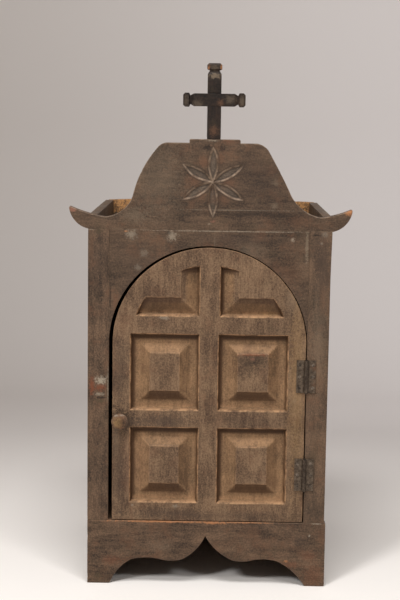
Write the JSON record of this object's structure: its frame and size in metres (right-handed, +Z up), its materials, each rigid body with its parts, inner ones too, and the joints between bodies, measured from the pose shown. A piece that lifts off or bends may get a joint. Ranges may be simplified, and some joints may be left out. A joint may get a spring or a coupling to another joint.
{
  "type": "carved wooden household altar",
  "caption": "Standing wooden altar cabinet with an arched, carved, hinged door, shaped apron feet, a tray on top, a winged crest board with a rosette, and a cross.",
  "frame": {"origin": "on the floor, at the centre of the whole footprint, door knob included", "axes": "+Z up; +X to the right as seen from the front; +Y from the door to the back"},
  "size_m": [0.439, 0.395, 0.8263],
  "materials": {
    "weathered_frame_wood": "dark brown stain, worn and scuffed, matt",
    "door_wood": "mid brown stain worn to tan on edges and ledges, matt",
    "dark_cross_wood": "nearly black stain, worn at the ends",
    "carcass_wood": "brown stain outside, bare golden wood inside",
    "knob_wood": "turned wood, stain worn off by hands",
    "hinge_steel": "dark aged steel"
  },
  "bodies": {
    "cabinet": {"front_apron": "weathered_frame_wood", "left_stile": "weathered_frame_wood", "right_stile": "weathered_frame_wood", "arch_board": "weathered_frame_wood", "crest_board": "weathered_frame_wood", "cross_post": "dark_cross_wood", "cross_arm": "dark_cross_wood", "left_side_board": "carcass_wood", "right_side_board": "carcass_wood", "back_plank_left": "carcass_wood", "back_plank_right": "carcass_wood", "roof_board": "carcass_wood", "floor_board": "carcass_wood", "upper_hinge_frame_leaf": "hinge_steel", "upper_hinge_pin": "hinge_steel", "lower_hinge_frame_leaf": "hinge_steel", "lower_hinge_pin": "hinge_steel"},
    "door": {"door_slab": "door_wood", "door_knob": "knob_wood", "upper_hinge_door_leaf": "hinge_steel", "lower_hinge_door_leaf": "hinge_steel"}
  },
  "joints": [
    {"name": "door_swing", "type": "hinge", "parent": "cabinet", "child": "door", "pos_m": [0.15365, -0.1759, 0.2627], "axis": [0, 0, 1], "range_deg": [0, 170]}
  ]
}
